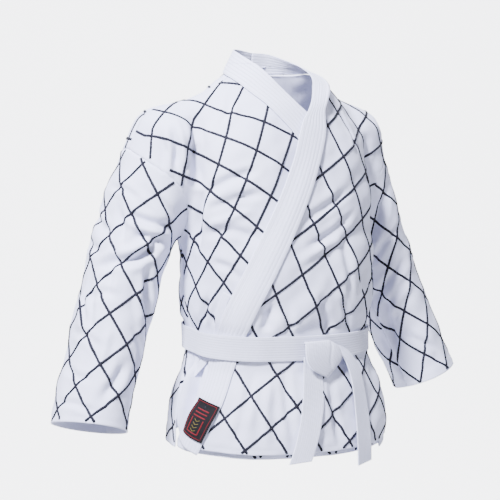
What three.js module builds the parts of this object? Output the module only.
// Hapkido jacket with its belt, worn shape with no wearer, in millimetres.
// +Z is up, the front faces -Y and the wearer's left is +X. The origin is the middle of the neck base.
import * as THREE from "three";

// Cloth and trim sizes
const CLOTH = 1.8; // wall of the jacket's canvas
const SEAM_GAP = 0.3; // each piece stops this far short of a seam
const BAND_WIDTH = 50; // the stitched collar and lapel band
const BAND = 2.8;
const BELT_WIDTH = 45;
const BELT = 2.6;
const LABEL = { width: 38, length: 70, thickness: 1.4, above_hem: 26 };
const TIE = { width: 14, thickness: 1.6 };

// How far each piece lies off the body's form
const LIFT = {
  cloth: 0,
  over: 7.8, // the left front, over the right one and its band
  neck_band: 3.6,
  left_band: 11.2,
  band_dip: 4.6, // the left band's free edge comes down past the front that it closes
  label: 1.2,
  tie: 3.4,
};

// Heights
const HEM = { middle: -649, slope: -0.06 }; // the hem drops towards the wearer's left
const UNDER_HEM = -9; // the front that lies underneath is longer by this
const BACK_HEM = -652;
const VENT_TOP = -505; // side seams end here, below the belt
const YOKE_START = -315; // below it every section is a plain ring
const BELT_CENTRE = { middle: -466, slope: -0.055 }; // it drops towards the wearer's left too

// The torso's horizontal sections: half width, and depth to the front and the back of the axis
const TORSO = [
  { z: -700, half: 212, front: 168, back: 153 },
  { z: -665, half: 209, front: 164, back: 150 },
  { z: -600, half: 201, front: 157, back: 144 },
  { z: -550, half: 189, front: 148, back: 136 },
  { z: -524, half: 179, front: 139, back: 127 },
  { z: -500, half: 172, front: 132, back: 121 },
  { z: -436, half: 172, front: 132, back: 121 },
  { z: -412, half: 178, front: 138, back: 125 },
  { z: -380, half: 181, front: 141, back: 127 },
  { z: -330, half: 180, front: 138, back: 125 },
  { z: -260, half: 181, front: 131, back: 125 },
  { z: -190, half: 184, front: 122, back: 125 },
  { z: -140, half: 181, front: 112, back: 122 },
  { z: -100, half: 168, front: 103, back: 116 },
  { z: -70, half: 148, front: 95, back: 108 },
  { z: -40, half: 120, front: 85, back: 99 },
  { z: -15, half: 99, front: 71, back: 91 },
  { z: 10, half: 86, front: 56, back: 82 },
  { z: 30, half: 76, front: 46, back: 74 },
];
const SQUARENESS = 2.3; // exponent of the sections, 2 is an ellipse

// Shoulders: a round yoke from beside the neck to the top of the arm
const YOKE = {
  inner: new THREE.Vector3(50, 18, -46),
  inner_r: 58,
  outer: new THREE.Vector3(177, 38, -104),
  outer_r: 60,
};

// Each sleeve's centre line is start + reach * u + bow * u^2.
// It runs from u = 0 at the shoulder to u = 1 at the cuff.
// The wearer's right arm is held a little further out. Both are given as if on the left.
const ARMS = {
  left: {
    start: new THREE.Vector3(175, 38, -94),
    reach: new THREE.Vector3(214, 84, -478.6),
    bow: new THREE.Vector3(-15, -117, -18.4),
  },
  right: {
    start: new THREE.Vector3(193, 40, -96),
    reach: new THREE.Vector3(190, 82, -476.6),
    bow: new THREE.Vector3(-9, -117, -18.4),
  },
};
const SLEEVE = [
  { u: -0.1, side: 62, fore: 74 },
  { u: 0.0, side: 66, fore: 79 },
  { u: 0.15, side: 66, fore: 84 },
  { u: 0.35, side: 64, fore: 83 },
  { u: 0.55, side: 62, fore: 79 },
  { u: 0.75, side: 61, fore: 76 },
  { u: 1.0, side: 60, fore: 75 },
];
// The dropped armhole seam: how far down the arm it is, all round the arm.
// It is lowest where arm and body part.
const SEAM = [
  { degrees: 0, left: 0.095, right: 0.095 },
  { degrees: 45, left: 0.12, right: 0.115 },
  { degrees: 90, left: 0.155, right: 0.145 },
  { degrees: 120, left: 0.228, right: 0.182 },
  { degrees: 135, left: 0.275, right: 0.225 },
  { degrees: 150, left: 0.318, right: 0.262 },
  { degrees: 165, left: 0.333, right: 0.288 },
  { degrees: 180, left: 0.315, right: 0.272 },
  { degrees: 195, left: 0.262, right: 0.245 },
  { degrees: 210, left: 0.195, right: 0.192 },
  { degrees: 240, left: 0.165, right: 0.155 },
  { degrees: 270, left: 0.15, right: 0.14 },
  { degrees: 315, left: 0.115, right: 0.11 },
  { degrees: 360, left: 0.095, right: 0.095 },
];
const UNDERARM = 165; // where the side seam meets the armhole
const SIDE_SEAM = { top: -10, low: 0 }; // degrees behind the side
// Points near the shoulder seam, on the left
const SHOULDER = [[262, 38, -75], [225, 36, -45], [180, 33, -20], [130, 26, 2]];
const BLEND = { yoke: 40, arm: 38 }; // how softly the forms run into each other

// The band's seam on each front, and the free edge round the neck.
// Seam points lie near the cloth and are moved on to it.
const NECK_BACK = { seam: [0, 80, 17], free: [-2, 72, 58] };
const LEFT_EDGE = [
  { seam: [42, 70, 14], free: [28, 66, 56] },
  { seam: [70, 45, 10], free: [54, 36, 40] },
  { seam: [79, 11, 6], free: [63, 4, 25] },
  { seam: [82, -24, -8], free: [59, -24, 7] },
  { seam: [68, -52, -26], free: [40, -52, -15] },
  { seam: [52, -72, -40], free: [20, -74, -37] },
  { seam: [40, -84, -55], free: [-1, -90, -60] },
  { seam: [35, -98, -89] },
  { seam: [8, -114, -155] },
  { seam: [-22, -124, -215] },
  { seam: [-55, -130, -277] },
  { seam: [-91, -127, -347] },
  { seam: [-121, -110, -418] },
  { seam: [-140, -94, -488] },
  { seam: [-161, -92, -554] },
  { seam: [-187, -70, -638] },
  { seam: [-194, -60, -668] },
];
const RIGHT_EDGE = [
  { seam: [-44, 70, 17], free: [-34, 62, 62] },
  { seam: [-76, 42, 13], free: [-62, 32, 58] },
  { seam: [-87, 11, 3], free: [-65, 2, 47] },
  { seam: [-91, -34, -9], free: [-60, -34, 28] },
  { seam: [-82, -55, -25], free: [-46, -58, 4] },
  { seam: [-67, -73, -43], free: [-30, -71, -17] },
  { seam: [-51, -86, -63], free: [-11, -82, -41] },
  { seam: [-30, -96, -88] },
  { seam: [0, -108, -135] },
  { seam: [34, -118, -200] },
  { seam: [66, -126, -290] },
  { seam: [88, -126, -380] },
  { seam: [98, -108, -470] },
  { seam: [112, -118, -545] },
  { seam: [126, -124, -610] },
  { seam: [138, -124, -680] },
];
const UNDER_BAND = 10; // how far a front runs on under its band

// The belt lies over pieces of different height. Degrees run from the wearer's left over the front.
const BELT_LIFT = [
  { degrees: -40, lift: 3 },
  { degrees: -4, lift: 3 },
  { degrees: 24, lift: 10.5 },
  { degrees: 116, lift: 10.5 },
  { degrees: 128, lift: 14.7 },
  { degrees: 160, lift: 14.7 },
  { degrees: 174, lift: 6.6 },
  { degrees: 200, lift: 6 },
  { degrees: 222, lift: 3 },
  { degrees: 330, lift: 3 },
];

// The knot's wrap, row by row from its tucked upper end over its face to its tucked lower end
const KNOT = [
  { left: [-34, -144.6, -457], right: [10, -145.2, -459] },
  { left: [-36, -151, -451], right: [12, -151, -453] },
  { left: [-38, -157, -451], right: [16, -157, -453] },
  { left: [-40, -160, -466], right: [26, -160, -460] },
  { left: [-38, -161, -484], right: [34, -161, -468] },
  { left: [-24, -160, -502], right: [39, -160, -479] },
  { left: [4, -157, -517], right: [40, -157, -489] },
  { left: [12, -152, -521], right: [38, -152, -494] },
  { left: [12, -148.5, -517], right: [34, -148.5, -491] },
];

// The two hanging ends, from inside the knot down.
// Facing is the direction of the face in degrees: 0 is the front, 90 the wearer's left.
const END_A = [
  { x: -15, y: -145.5, z: -480, width: 36, facing: 0 },
  { x: -16, y: -148.2, z: -498, width: 39, facing: 0 },
  { x: -18, y: -153, z: -520, width: 42, facing: 0 },
  { x: -21, y: -159, z: -550, width: 45, facing: -2 },
  { x: -33, y: -169, z: -590, width: 45, facing: -4 },
  { x: -48, y: -177, z: -625, width: 45, facing: -5 },
  { x: -64, y: -182, z: -655, width: 45, facing: -6 },
];
const END_B = [
  { x: 24, y: -145, z: -467, width: 13, facing: 4 },
  { x: 42, y: -148.8, z: -473, width: 14, facing: 6 },
  { x: 57, y: -152, z: -486, width: 19, facing: 12 },
  { x: 69, y: -154, z: -508, width: 28, facing: 20 },
  { x: 78, y: -157, z: -540, width: 40, facing: 24 },
  { x: 83, y: -165, z: -600, width: 45, facing: 22 },
  { x: 84, y: -170, z: -645, width: 45, facing: 20 },
  { x: 84, y: -172, z: -682, width: 45, facing: 20 },
];

// The two ties, as points near the cloth, moved on to it
const SIDE_TIE = [[-173, -55, -470], [-182, -28, -500], [-192, -2, -530], [-197, 18, -556]];
const LAPEL_TIE = [[-152, -86, -364], [-158, -80, -384], [-161, -76, -405], [-167, -62, -452]];

// The largest folds: a line near the cloth, its depth (negative is a trough) and its width
const FOLDS = [
  // Round the right arm and over the right side of the chest
  { depth: -9, width: 14, line: [[-188, -30, -81], [-188, -41, -118], [-180, -40, -187]] },
  { depth: -6, width: 14, line: [[-180, -40, -187], [-181, -30, -231], [-181, -23, -276]] },
  { depth: 4, width: 13, line: [[-210, -24, -74], [-209, -38, -115], [-203, -35, -150]] },
  { depth: -4, width: 14, line: [[-173, -55, -187], [-148, -81, -171], [-108, -101, -156]] },
  { depth: -4, width: 14, line: [[-169, -62, -221], [-142, -90, -213], [-98, -111, -195]] },
  { depth: -4, width: 15, line: [[-173, -54, -263], [-144, -93, -278], [-108, -114, -268]] },
  // Gathers above the belt
  { depth: -4, width: 13, line: [[-174, -52, -375], [-174, -37, -420]] },
  { depth: -4, width: 15, line: [[-93, -128, -384], [-99, -118, -427]] },
  { depth: -4, width: 15, line: [[2, -141, -380], [28, -132, -435]] },
  { depth: -3, width: 17, line: [[-108, -120, -400], [-62, -136, -384], [-18, -141, -352]] },
  { depth: -5, width: 15, line: [[-60, 126, -350], [-75, 122, -425]] },
  { depth: -4, width: 15, line: [[30, 128, -350], [45, 122, -425]] },
  { depth: -5, width: 15, line: [[110, 110, -370], [105, 106, -430]] },
  // The left side of the chest, and the back
  { depth: -7, width: 14, line: [[178, -40, -90], [176, -48, -130], [172, -46, -185]] },
  { depth: -3, width: 16, line: [[140, -80, -175], [83, -112, -183], [30, -125, -216]] },
  { depth: -3, width: 16, line: [[150, -80, -265], [80, -125, -272], [23, -135, -303]] },
  { depth: -8, width: 14, line: [[-190, 105, -110], [-186, 110, -160], [-180, 95, -205]] },
  { depth: -8, width: 14, line: [[176, 105, -110], [178, 110, -160], [172, 95, -205]] },
  { depth: -4, width: 16, line: [[-150, 112, -190], [-90, 128, -235], [-30, 128, -260]] },
  { depth: -4, width: 16, line: [[140, 112, -200], [80, 126, -260], [30, 128, -300]] },
  // The right sleeve
  { depth: -6, width: 14, line: [[-278, -29, -324], [-275, -25, -373], [-271, -13, -428]] },
  { depth: -4, width: 15, line: [[-342, 23, -319], [-314, -14, -306], [-274, -29, -287]] },
  { depth: -4, width: 15, line: [[-331, -45, -478], [-350, -49, -499], [-372, -53, -522]] },
  { depth: -3, width: 14, line: [[-308, 20, -224], [-313, -1, -270]] },
  { depth: -5, width: 15, line: [[-330, 120, -290], [-300, 132, -310], [-268, 110, -320]] },
  // The left sleeve
  { depth: -8, width: 14, line: [[229, -34, -217], [219, -26, -256], [217, -10, -300]] },
  { depth: -6, width: 14, line: [[282, -31, -346], [258, -18, -386], [250, 15, -426]] },
  { depth: -6, width: 14, line: [[261, -9, -423], [275, -8, -469], [289, -9, -518]] },
  { depth: -5, width: 15, line: [[320, 120, -300], [285, 132, -330], [252, 112, -345]] },
  // The skirt below the belt
  { depth: -5, width: 11, line: [[-182, -27, -535], [-195, -29, -575], [-205, -29, -640]] },
  { depth: 10, width: 40, line: [[-185, -60, -560], [-205, -30, -668]] },
  { depth: 4, width: 24, line: [[-109, -120, -521], [-125, -127, -572], [-139, -129, -640]] },
  { depth: -4, width: 18, line: [[10, -144, -533], [21, -155, -587], [35, -160, -660]] },
  { depth: 6, width: 32, line: [[147, -102, -535], [158, -108, -589], [153, -121, -655]] },
  { depth: 5, width: 24, line: [[-60, 140, -530], [-75, 150, -650]] },
  { depth: -4, width: 18, line: [[50, 140, -540], [60, 150, -650]] },
  { depth: 5, width: 22, line: [[130, 116, -540], [145, 122, -650]] },
];

// Counts of the meshes
const ROWS = { lower: 13, side: 2 };
const ARM_STEP = 15; // degrees between the columns of a sleeve
const FRONT_COLUMNS = 22;
const SHOULDER_COLUMNS = 11; // of the back, along one shoulder seam
const NECK_COLUMNS = 4; // of the back, along half the neckline
const SLEEVE_ROWS = 20;
const BAND_ROWS = 44;
const BAND_COLUMNS = 4;
const BELT_COLUMNS = 88;

const V = (x, y, z) => new THREE.Vector3(x, y, z);
const clamp01 = (t) => Math.min(1, Math.max(0, t));
const smooth = (t) => clamp01(t) ** 2 * (3 - 2 * clamp01(t));

// A smooth curve through one column of a table
function column(rows, key, value) {
  const x = rows.map((r) => r[key]);
  const y = rows.map((r) => r[value]);
  const slope = x.map((_, i) => {
    const a = Math.max(0, i - 1);
    const b = Math.min(x.length - 1, i + 1);
    return (y[b] - y[a]) / (x[b] - x[a]);
  });
  return (at) => {
    let i = 0;
    while (i < x.length - 2 && at > x[i + 1]) i++;
    const h = x[i + 1] - x[i];
    const t = clamp01((at - x[i]) / h);
    const rise = y[i] * (1 + 2 * t) * (1 - t) ** 2 + y[i + 1] * t * t * (3 - 2 * t);
    return rise + h * (slope[i] * t * (1 - t) ** 2 + slope[i + 1] * t * t * (t - 1));
  };
}
const torso = {
  half: column(TORSO, "z", "half"),
  front: column(TORSO, "z", "front"),
  back: column(TORSO, "z", "back"),
};
const sleeve = { side: column(SLEEVE, "u", "side"), fore: column(SLEEVE, "u", "fore") };

// A point of the torso's ring.
// The angle runs from the wearer's left (0) over the front (90) to the right (180) and the back (270).
function ring(z, degrees) {
  const angle = (degrees * Math.PI) / 180;
  const c = Math.cos(angle);
  const s = Math.sin(angle);
  const r = (Math.abs(c) ** SQUARENESS + Math.abs(s) ** SQUARENESS) ** (-1 / SQUARENESS);
  return V(torso.half(z) * r * c, -(s > 0 ? torso.front(z) : torso.back(z)) * r * s, z);
}

const arm = (side) => (side > 0 ? ARMS.left : ARMS.right);
const armPoint = (side, u) => {
  const { start, reach, bow } = arm(side);
  return start.clone().addScaledVector(reach, u).addScaledVector(bow, u * u);
};
const armSlope = (side, u) => arm(side).reach.clone().addScaledVector(arm(side).bow, 2 * u);
function armFrame(side, u) {
  const along = armSlope(side, u).normalize();
  const front = V(0, -1, 0).addScaledVector(along, along.y).normalize();
  return { along, front, out: front.clone().cross(along) };
}

// A point of a sleeve's tube.
// The turn runs from the outside (0) over the front (90) to the inside (180) and the back (270).
function tube(side, u, degrees) {
  const turn = (degrees * Math.PI) / 180;
  const { front, out } = armFrame(side, u);
  const p = armPoint(side, u).addScaledVector(out, sleeve.side(u) * Math.cos(turn));
  p.addScaledVector(front, sleeve.fore(u) * Math.sin(turn));
  return side > 0 ? p : mirrored(p);
}

// Distance-like fields of the three forms, negative inside.
// Points on the right are given as if on the left.
function torsoField(p) {
  const depth = p.y < 0 ? torso.front(p.z) : torso.back(p.z);
  const x = Math.abs(p.x) / torso.half(p.z);
  const y = Math.abs(p.y) / depth;
  const level = (x ** SQUARENESS + y ** SQUARENESS) ** (1 / SQUARENESS);
  return level < 1e-6 ? -depth : Math.hypot(p.x, p.y) * (1 - 1 / level);
}
function yokeField(p) {
  const bone = YOKE.outer.clone().sub(YOKE.inner);
  const t = clamp01(p.clone().sub(YOKE.inner).dot(bone) / bone.lengthSq());
  const nearest = YOKE.inner.clone().addScaledVector(bone, t);
  return p.distanceTo(nearest) - YOKE.inner_r - (YOKE.outer_r - YOKE.inner_r) * t;
}
function armField(p, side) {
  let u = clamp01((arm(side).start.z - p.z) / 503);
  for (let i = 0; i < 4; i++) {
    const slope = armSlope(side, u);
    u = Math.min(1.1, Math.max(0, u + p.clone().sub(armPoint(side, u)).dot(slope) / slope.lengthSq()));
  }
  const { along, front, out } = armFrame(side, u);
  const q = p.clone().sub(armPoint(side, u));
  const w = sleeve.side(u);
  const level = Math.hypot(q.dot(out) / w, q.dot(front) / sleeve.fore(u), q.dot(along) / (0.6 * w));
  return level < 1e-6 ? -w : q.length() * (1 - 1 / level);
}
function softMin(a, b, k) {
  const h = Math.max(k - Math.abs(a - b), 0) / k;
  return Math.min(a, b) - (h * h * k) / 4;
}
function field(p) {
  const q = V(Math.abs(p.x), p.y, p.z);
  const body = softMin(torsoField(q), yokeField(q), BLEND.yoke);
  return softMin(body, armField(q, p.x > 0 ? 1 : -1), BLEND.arm);
}
function gradient(p) {
  const h = 0.4;
  const at = (axis, way) => field(p.clone().addScaledVector(axis, way));
  const along = (axis) => at(axis, h) - at(axis, -h);
  return V(along(V(1, 0, 0)), along(V(0, 1, 0)), along(V(0, 0, 1))).divideScalar(2 * h);
}
// Moves a point on to the form's surface
function onForm(p, steps = 5) {
  const q = p.clone();
  for (let i = 0; i < steps; i++) {
    const g = gradient(q);
    q.addScaledVector(g, -field(q) / Math.max(0.2, g.lengthSq()));
  }
  return q;
}
const outward = (p) => gradient(p).normalize();

// A smooth line through points, as equally spaced points on it
function line(points, count) {
  const curve = new THREE.CatmullRomCurve3(points, false, "centripetal");
  curve.arcLengthDivisions = 400;
  return curve.getSpacedPoints(count);
}
const mirrored = (p) => V(-p.x, p.y, p.z);
const lerpPoint = (a, b, t) => a.clone().lerp(b, t);

// Rows of points between four edges, evened out and laid on the form
function patch(bottom, top, outer, inner, rounds = 60) {
  const n = bottom.length - 1;
  const m = outer.length - 1;
  const grid = outer.map((_, j) =>
    bottom.map((_, i) => {
      const s = i / n;
      const t = j / m;
      const ruled = lerpPoint(bottom[i], top[i], t).add(lerpPoint(outer[j], inner[j], s));
      const corners = lerpPoint(lerpPoint(bottom[0], bottom[n], s), lerpPoint(top[0], top[n], s), t);
      return ruled.sub(corners);
    }),
  );
  for (let round = 0; round < rounds; round++)
    for (let j = 1; j < m; j++)
      for (let i = 1; i < n; i++) {
        const sum = grid[j][i - 1].clone().add(grid[j][i + 1]).add(grid[j - 1][i]).add(grid[j + 1][i]);
        grid[j][i] = onForm(sum.multiplyScalar(0.25), 1);
      }
  for (let j = 1; j < m; j++) for (let i = 1; i < n; i++) grid[j][i] = onForm(grid[j][i]);
  return grid;
}

// The armhole seam: points from under the arm up to the outside, over the front or the back
const seam = { left: column(SEAM, "degrees", "left"), right: column(SEAM, "degrees", "right") };
const seamAt = (side, degrees) => (side > 0 ? seam.left : seam.right)(degrees);
const armholePoint = (side, degrees) => onForm(tube(side, seamAt(side, degrees), degrees));
const steps = (first, last, count) =>
  Array.from({ length: count + 1 }, (_, i) => first + ((last - first) * i) / count);
const armhole = (side, last) =>
  steps(UNDERARM, last, Math.abs(last - UNDERARM) / ARM_STEP).map((d) => armholePoint(side, d));
const ringAt = (side, z, degrees) => (side > 0 ? ring(z, degrees) : mirrored(ring(z, degrees)));
// The ring's angle at a point, measured from the side that the point is on
const ringDegrees = (p) => {
  const turn = Math.atan2(-p.y / torso.front(p.z), Math.abs(p.x) / torso.half(p.z));
  return (turn * 180) / Math.PI;
};

// The side seam from the ring at YOKE_START up to the underarm point
function sideSeam(side) {
  const foot = ringAt(side, YOKE_START, SIDE_SEAM.top);
  const underarm = armholePoint(side, UNDERARM);
  return steps(0, 1, ROWS.side).map((t) => (t === 1 ? underarm : onForm(lerpPoint(foot, underarm, t))));
}
// The shoulder seam from the armhole to the neck. Both panels meet along the same straight steps.
function shoulderSeam(side, outer, neck, count) {
  const middle = SHOULDER.map(([x, y, z]) => onForm(V(side * x, y, z)));
  const way = line([outer, ...middle, neck], SHOULDER_COLUMNS).map((p) => onForm(p));
  return steps(0, SHOULDER_COLUMNS, count).map((t) => {
    const i = Math.min(SHOULDER_COLUMNS - 1, Math.floor(t));
    return lerpPoint(way[i], way[i + 1], t - i);
  });
}
// The side edges part below the seam, as a vent
const sideAngle = (z) => {
  const rise = smooth((z - VENT_TOP) / (YOKE_START - VENT_TOP));
  return SIDE_SEAM.low + (SIDE_SEAM.top - SIDE_SEAM.low) * rise;
};
const ventAngle = (z) => 3.2 * smooth((VENT_TOP - z) / 160);
const hemAt = (x) => HEM.middle + HEM.slope * x;

// The line where a band is sewn on, moved by some reach towards the band's free edge
function edgeLine(rows, reach) {
  const points = [NECK_BACK.seam, ...rows.map((r) => r.seam)].map((p) => V(...p));
  const on = line(points, 240).map((p) => onForm(p));
  const side = rows[0].seam[0] > 0 ? -1 : 1;
  return on.map((p, i) => {
    const along = on[Math.min(on.length - 1, i + 1)].clone().sub(on[Math.max(0, i - 1)]);
    const here = reach * (0.2 + 0.8 * smooth((-p.z - 20) / 40));
    return onForm(p.clone().addScaledVector(outward(p).cross(along).normalize(), side * here));
  });
}
const LEFT_LINE = edgeLine(LEFT_EDGE, UNDER_BAND);
const RIGHT_LINE = edgeLine(RIGHT_EDGE, UNDER_BAND);
const neckIndex = (points) => points.findIndex((p) => p.y < 9);

// A front's points, from its side edge (column 0) to under its band and from hem to shoulder
function frontGrid(edge, side, hem) {
  const outer = [...sideSeam(side).slice(0, -1), ...armhole(side, 0)];
  const count = outer.length - 1;
  const front = edge.slice(neckIndex(edge));
  const neck = front[0];
  const inner = line(front.filter((p) => p.z >= YOKE_START).reverse(), count).map((p) => onForm(p));
  // Angles on the other half of the ring are past 90 degrees
  const degreesOf = (p) => (p.x * side > 0 ? ringDegrees(p) : 180 - ringDegrees(p));
  const low = front.filter((p) => p.z < YOKE_START + 12).reverse();
  const some = low.filter((_, i) => i % 5 === 0);
  const edgeAt = column(some.map((p) => ({ z: p.z, degrees: degreesOf(p) })), "z", "degrees");
  inner[0] = ringAt(side, YOKE_START, edgeAt(YOKE_START));
  const turns = steps(SIDE_SEAM.top, edgeAt(YOKE_START), FRONT_COLUMNS);
  const bottom = turns.map((d) => ringAt(side, YOKE_START, d));
  const top = shoulderSeam(side, outer[count], neck, FRONT_COLUMNS);
  top[0] = outer[count];
  top[FRONT_COLUMNS] = neck;
  inner[count] = neck;
  const upper = patch(bottom, top, outer, inner);
  const lower = steps(0, 1, ROWS.lower)
    .slice(0, -1)
    .map((t) =>
      steps(0, 1, FRONT_COLUMNS).map((s) => {
        const foot = hem(ringAt(side, -655, s * edgeAt(-655)).x);
        const z = foot + (YOKE_START - foot) * t;
        const start = sideAngle(z) + ventAngle(z);
        return ringAt(side, z, start + (edgeAt(z) - start) * s);
      }),
    );
  return [...lower, ...upper];
}

function halfBack(side) {
  const edge = side > 0 ? LEFT_LINE : RIGHT_LINE;
  const outer = [...sideSeam(side).slice(0, -1), ...armhole(side, 360)];
  const count = outer.length - 1;
  const nape = edge[0].clone().setX(0);
  const spine = [ring(YOKE_START, 270), V(0, 125, -190), V(0, 120, -100), V(0, 100, -30), nape];
  const inner = line(spine.map((p) => onForm(p)), count).map((p) => onForm(p).setX(0));
  const columns = SHOULDER_COLUMNS + NECK_COLUMNS;
  const bottom = steps(360 + SIDE_SEAM.top, 270, columns).map((d) => ringAt(side, YOKE_START, d));
  const neckline = line(edge.slice(0, neckIndex(edge) + 1).reverse(), NECK_COLUMNS).map((p) => onForm(p));
  const ridge = shoulderSeam(side, outer[count], neckline[0], SHOULDER_COLUMNS);
  const top = [...ridge.slice(0, -1), ...neckline];
  top[0] = outer[count];
  top[columns] = nape;
  inner[count] = nape;
  const upper = patch(bottom, top, outer, inner);
  const lower = steps(BACK_HEM, YOKE_START, ROWS.lower)
    .slice(0, -1)
    .map((z) => {
      const start = 360 + sideAngle(z) - ventAngle(z);
      return steps(start, 270, columns).map((d) => ringAt(side, z, d));
    });
  return [...lower, ...upper];
}
function backGrid() {
  const left = halfBack(1);
  const right = halfBack(-1);
  return left.map((row, j) => [...right[j], ...row.slice(0, -1).reverse()]);
}

// Pulls the edges of a piece back from its seams
function trimmed(grid, closed = false) {
  const rows = grid.length - 1;
  const columns = grid[0].length - 1;
  const pull = (p, towards, before, after) => {
    const along = after.clone().sub(before).normalize();
    const inward = towards.clone().sub(p);
    inward.addScaledVector(along, -inward.dot(along)).normalize();
    return inward.multiplyScalar(SEAM_GAP);
  };
  return grid.map((row, j) =>
    row.map((p, i) => {
      const q = p.clone();
      const before = row[closed ? (i + columns) % (columns + 1) : Math.max(0, i - 1)];
      const after = row[closed ? (i + 1) % (columns + 1) : Math.min(columns, i + 1)];
      if (j === 0) q.add(pull(p, grid[1][i], before, after));
      if (j === rows) q.add(pull(p, grid[rows - 1][i], before, after));
      const below = grid[Math.max(0, j - 1)][i];
      const above = grid[Math.min(rows, j + 1)][i];
      if (!closed && i === 0) q.add(pull(p, row[1], below, above));
      if (!closed && i === columns) q.add(pull(p, row[columns - 1], below, above));
      return q;
    }),
  );
}

// A closed wall between an inner and an outer grid of points
function wall(inner, outer, closed = false) {
  const rows = inner.length;
  const columns = inner[0].length;
  const position = [...inner.flat(), ...outer.flat()].flatMap((p) => [p.x, p.y, p.z]);
  const at = (layer, j, i) => layer * rows * columns + j * columns + (i % columns);
  const index = [];
  const quad = (a, b, c, d) => index.push(a, b, c, a, c, d);
  const last = closed ? columns : columns - 1;
  for (let j = 0; j < rows - 1; j++)
    for (let i = 0; i < last; i++) {
      quad(at(1, j, i), at(1, j, i + 1), at(1, j + 1, i + 1), at(1, j + 1, i));
      quad(at(0, j, i), at(0, j + 1, i), at(0, j + 1, i + 1), at(0, j, i + 1));
    }
  for (let i = 0; i < last; i++) {
    quad(at(0, 0, i), at(0, 0, i + 1), at(1, 0, i + 1), at(1, 0, i));
    quad(at(0, rows - 1, i), at(1, rows - 1, i), at(1, rows - 1, i + 1), at(0, rows - 1, i + 1));
  }
  if (!closed)
    for (let j = 0; j < rows - 1; j++) {
      quad(at(0, j, 0), at(1, j, 0), at(1, j + 1, 0), at(0, j + 1, 0));
      quad(at(0, j, last), at(0, j + 1, last), at(1, j + 1, last), at(1, j, last));
    }
  const geometry = new THREE.BufferGeometry();
  geometry.setAttribute("position", new THREE.Float32BufferAttribute(position, 3));
  geometry.setIndex(index);
  return geometry;
}
// Turns all faces over if they point inwards
function turnedOut(geometry) {
  const p = geometry.attributes.position;
  const index = geometry.index.array;
  const corner = (i) => V(0, 0, 0).fromBufferAttribute(p, index[i]);
  let volume = 0;
  for (let i = 0; i < index.length; i += 3) volume += corner(i).dot(corner(i + 1).cross(corner(i + 2)));
  if (volume < 0)
    for (let i = 0; i < index.length; i += 3) [index[i + 1], index[i + 2]] = [index[i + 2], index[i + 1]];
  geometry.computeVertexNormals();
  return geometry;
}

// How deep the folds are at a point of the form
const FOLD_LINES = FOLDS.map((fold) => ({ ...fold, line: fold.line.map((p) => onForm(V(...p))) }));
function folds(p) {
  let sum = 0;
  for (const fold of FOLD_LINES) {
    let near = Infinity;
    let along = 0;
    const last = fold.line.length - 1;
    for (let i = 0; i < last; i++) {
      const a = fold.line[i];
      const b = fold.line[i + 1];
      const t = clamp01(p.clone().sub(a).dot(b.clone().sub(a)) / a.distanceToSquared(b));
      const d = p.distanceTo(lerpPoint(a, b, t));
      if (d < near) {
        near = d;
        along = (i + t) / last;
      }
    }
    const fade = smooth(Math.min(along + 0.12, 1.12 - along) / 0.35);
    sum += fold.depth * fade * Math.exp(-((near / fold.width) ** 2));
  }
  return sum;
}

// A panel's or a sleeve's wall, standing off the form by a lift and by its folds
function panel(grid, lift, closed = false) {
  const height = (p) => (typeof lift === "function" ? lift(p) : lift) + folds(p);
  const moved = (p, extra) => p.clone().addScaledVector(outward(p), height(p) + extra);
  const layer = (extra) => grid.map((row) => row.map((p) => moved(p, extra)));
  return turnedOut(wall(layer(0), layer(CLOTH), closed));
}
// A strap's wall, along the grid's own normals, half to each side when centred
function strap(grid, thickness, facing, closed = false, centred = false) {
  const rows = grid.length - 1;
  const columns = grid[0].length - 1;
  const normal = grid.map((row, j) =>
    row.map((p, i) => {
      const before = closed ? (i + columns) % (columns + 1) : Math.max(0, i - 1);
      const after = closed ? (i + 1) % (columns + 1) : Math.min(columns, i + 1);
      const across = row[after].clone().sub(row[before]);
      const along = grid[Math.min(rows, j + 1)][i].clone().sub(grid[Math.max(0, j - 1)][i]);
      return along.cross(across).normalize().multiplyScalar(facing);
    }),
  );
  const layer = (h) => grid.map((row, j) => row.map((p, i) => p.clone().addScaledVector(normal[j][i], h)));
  const low = centred ? -thickness / 2 : 0;
  return turnedOut(wall(layer(low), layer(low + thickness), closed));
}

// A band's under face as a function of the way along it and across it, both 0 to 1
function bandSurface(rows, lift) {
  const side = rows[0].seam[0] > 0 ? -1 : 1;
  const all = [{ ...NECK_BACK }, ...rows];
  const seams = all.map((r) => onForm(V(...r.seam)));
  const frees = all.map((r, i) => {
    if (r.free) return V(...r.free);
    const along = seams[Math.min(all.length - 1, i + 1)].clone().sub(seams[i - 1]);
    const across = outward(seams[i]).cross(along).normalize();
    const half = onForm(seams[i].clone().addScaledVector(across, (side * BAND_WIDTH) / 2));
    const rest = half.clone().sub(seams[i]).normalize();
    return onForm(half.addScaledVector(rest, BAND_WIDTH / 2));
  });
  const seamCurve = new THREE.CatmullRomCurve3(seams, false, "centripetal");
  const freeCurve = new THREE.CatmullRomCurve3(frees, false, "centripetal");
  seamCurve.arcLengthDivisions = 400;
  return (along, across) => {
    const t = seamCurve.getUtoTmapping(along);
    const flat = lerpPoint(seamCurve.getPoint(t), freeCurve.getPoint(t), across);
    const lying = smooth((t * (all.length - 1) - 5) / 2.2);
    const on = onForm(flat);
    const p = lerpPoint(flat, on, Math.max(lying, across < 0.12 ? 1 : 0));
    return p.addScaledVector(outward(on), lift(t * (all.length - 1), across) + folds(on) * lying);
  };
}
function bandGrid(surface, first, last) {
  return steps(first, last, BAND_ROWS).map((a) => steps(0, 1, BAND_COLUMNS).map((c) => surface(a, c)));
}

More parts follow.
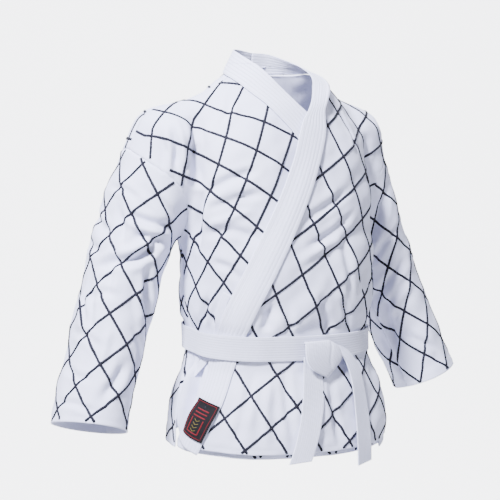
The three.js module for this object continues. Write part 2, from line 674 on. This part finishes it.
const FREE_RIGHT = edgeLine(RIGHT_EDGE, BAND_WIDTH);
const freeTable = FREE_RIGHT.filter((p, i) => p.z < -50 && i % 6 === 0)
  .map((p) => ({ z: p.z, degrees: p.x > 0 ? ringDegrees(p) : 180 - ringDegrees(p) }))
  .reverse();
const freeDegrees = column(freeTable, "z", "degrees");
// The left front lies high over the right one and its band, and comes down towards its own side seam
function overLift(p) {
  const degrees = p.x > 0 ? ringDegrees(p) : 180 - ringDegrees(p);
  const z = Math.min(-56, p.z);
  const over = smooth((degrees - freeDegrees(z) + 34) / 20);
  return LIFT.cloth + (LIFT.over - LIFT.cloth) * over * smooth((-p.z - 5) / 45);
}
function leftBandLift(row, across) {
  const rise = smooth((row - 3) / 3.5);
  const dip = smooth((row - 8) / 2) * smooth((across - 0.3) / 0.6);
  return LIFT.neck_band + (LIFT.left_band - LIFT.neck_band) * rise - LIFT.band_dip * dip;
}
const rightBandLift = () => LIFT.neck_band;

const cloth = new THREE.MeshStandardMaterial({ color: 0xe9e9f2, roughness: 0.9, metalness: 0 });
const band = new THREE.MeshStandardMaterial({ color: 0xeaeaf3, roughness: 0.85, metalness: 0 });
const webbing = new THREE.MeshStandardMaterial({ color: 0xe6e6ef, roughness: 0.85, metalness: 0 });
const labelCloth = new THREE.MeshStandardMaterial({ color: 0x1c1618, roughness: 0.7, metalness: 0 });
const group = new THREE.Group();
function add(name, geometry, material) {
  const mesh = new THREE.Mesh(geometry, material);
  mesh.name = name;
  group.add(mesh);
}

add("back", panel(trimmed(backGrid()), LIFT.cloth), cloth);
add("front_left", panel(trimmed(frontGrid(LEFT_LINE, 1, hemAt)), overLift), cloth);
add("front_right", panel(trimmed(frontGrid(RIGHT_LINE, -1, (x) => hemAt(x) + UNDER_HEM)), LIFT.cloth), cloth);

function sleeveGrid(side) {
  const turns = steps(0, 360, 360 / ARM_STEP).slice(0, -1);
  return steps(0, 1, SLEEVE_ROWS).map((t) =>
    turns.map((d) => {
      const first = seamAt(side, d);
      const u = first + (1 - first) * t;
      return u < 0.55 ? onForm(tube(side, u, d)) : tube(side, u, d);
    }),
  );
}
add("sleeve_left", panel(trimmed(sleeveGrid(1), true), LIFT.cloth, true), cloth);
add("sleeve_right", panel(trimmed(sleeveGrid(-1), true), LIFT.cloth, true), cloth);

const leftBand = bandSurface(LEFT_EDGE, leftBandLift);
const rightBand = bandSurface(RIGHT_EDGE, rightBandLift);
// A band stops where it reaches its front's hem
function hemPart(surface, hem) {
  let part = 1;
  while (surface(part, 0.5).z < hem(surface(part, 0.5).x)) part -= 0.001;
  return part;
}
const leftEnd = hemPart(leftBand, hemAt);
const rightEnd = hemPart(rightBand, (x) => hemAt(x) + UNDER_HEM);
add("lapel_band_left", strap(bandGrid(leftBand, 0.001, leftEnd), BAND, -1), band);
add("lapel_band_right", strap(bandGrid(rightBand, 0.001, rightEnd), BAND, 1), band);

// The label is a part of the left band's face, moved out
const labelStart = leftEnd - (LABEL.above_hem + LABEL.length) / 1000;
const labelGrid = steps(0, 1, 6).map((a) =>
  steps(0.12, 0.12 + LABEL.width / BAND_WIDTH, 3).map((c) => {
    const along = labelStart + (a * LABEL.length) / 1000;
    const p = leftBand(along, c);
    return p.addScaledVector(outward(p), BAND + LIFT.label);
  }),
);
add("label_patch", strap(labelGrid, LABEL.thickness, -1), labelCloth);

// The belt's turn round the waist
const beltLift = column(BELT_LIFT, "degrees", "lift");
const beltGrid = steps(-0.5, 0.5, 4).map((c) =>
  steps(0, 360, BELT_COLUMNS)
    .slice(0, -1)
    .map((d) => {
      const z = BELT_CENTRE.middle + BELT_CENTRE.slope * ring(BELT_CENTRE.middle, d).x;
      const p = ring(z + c * BELT_WIDTH, d);
      return p.addScaledVector(outward(p), beltLift(d > 320 ? d - 360 : d));
    }),
);
add("belt_wrap", strap(beltGrid, BELT, 1, true), webbing);

const KNOT_CROWN = 3; // the knot's face stands out by this in its middle
const knotGrid = KNOT.map((row) =>
  steps(0, 1, 5).map((t) => {
    const p = lerpPoint(V(...row.left), V(...row.right), t);
    p.y -= KNOT_CROWN * Math.sin(Math.PI * t);
    return p;
  }),
);
add("belt_knot", strap(knotGrid, BELT, 1, false, true), webbing);

function hangingEnd(rows) {
  const at = (key) => column(rows.map((r, i) => ({ ...r, i })), "i", key);
  const [x, y, z, width, facing] = ["x", "y", "z", "width", "facing"].map(at);
  const middle = (i) => V(x(i), y(i), z(i));
  return steps(0, rows.length - 1, 18).map((i) => {
    const along = middle(i + 0.05).sub(middle(i - 0.05)).normalize();
    const angle = (facing(i) * Math.PI) / 180;
    const level = V(-Math.cos(angle), -Math.sin(angle), 0);
    const square = along.cross(V(Math.sin(angle), -Math.cos(angle), 0)).normalize();
    if (level.dot(square) < 0) level.negate();
    // Hanging free, its rows are level, so that it ends level
    const across = lerpPoint(square, level, smooth((-z(i) - 520) / 60)).normalize();
    return steps(-0.5, 0.5, 3).map((c) => middle(i).addScaledVector(across, c * width(i)));
  });
}
add("belt_end_a", strap(hangingEnd(END_A), BELT, 1, false, true), webbing);
add("belt_end_b", strap(hangingEnd(END_B), BELT, 1, false, true), webbing);

function tieGrid(points) {
  const way = line(points.map((p) => onForm(V(...p))), 10).map((p) => onForm(p));
  return way.map((p, i) => {
    const along = way[Math.min(10, i + 1)].clone().sub(way[Math.max(0, i - 1)]).normalize();
    const across = outward(p).cross(along);
    return steps(-0.5, 0.5, 2).map((c) => {
      const q = onForm(p.clone().addScaledVector(across, c * TIE.width));
      return q.addScaledVector(outward(q), LIFT.tie + folds(q));
    });
  });
}
add("tie_side", strap(tieGrid(SIDE_TIE), TIE.thickness, 1), cloth);
add("tie_lapel", strap(tieGrid(LAPEL_TIE), TIE.thickness, 1), cloth);

export default group;
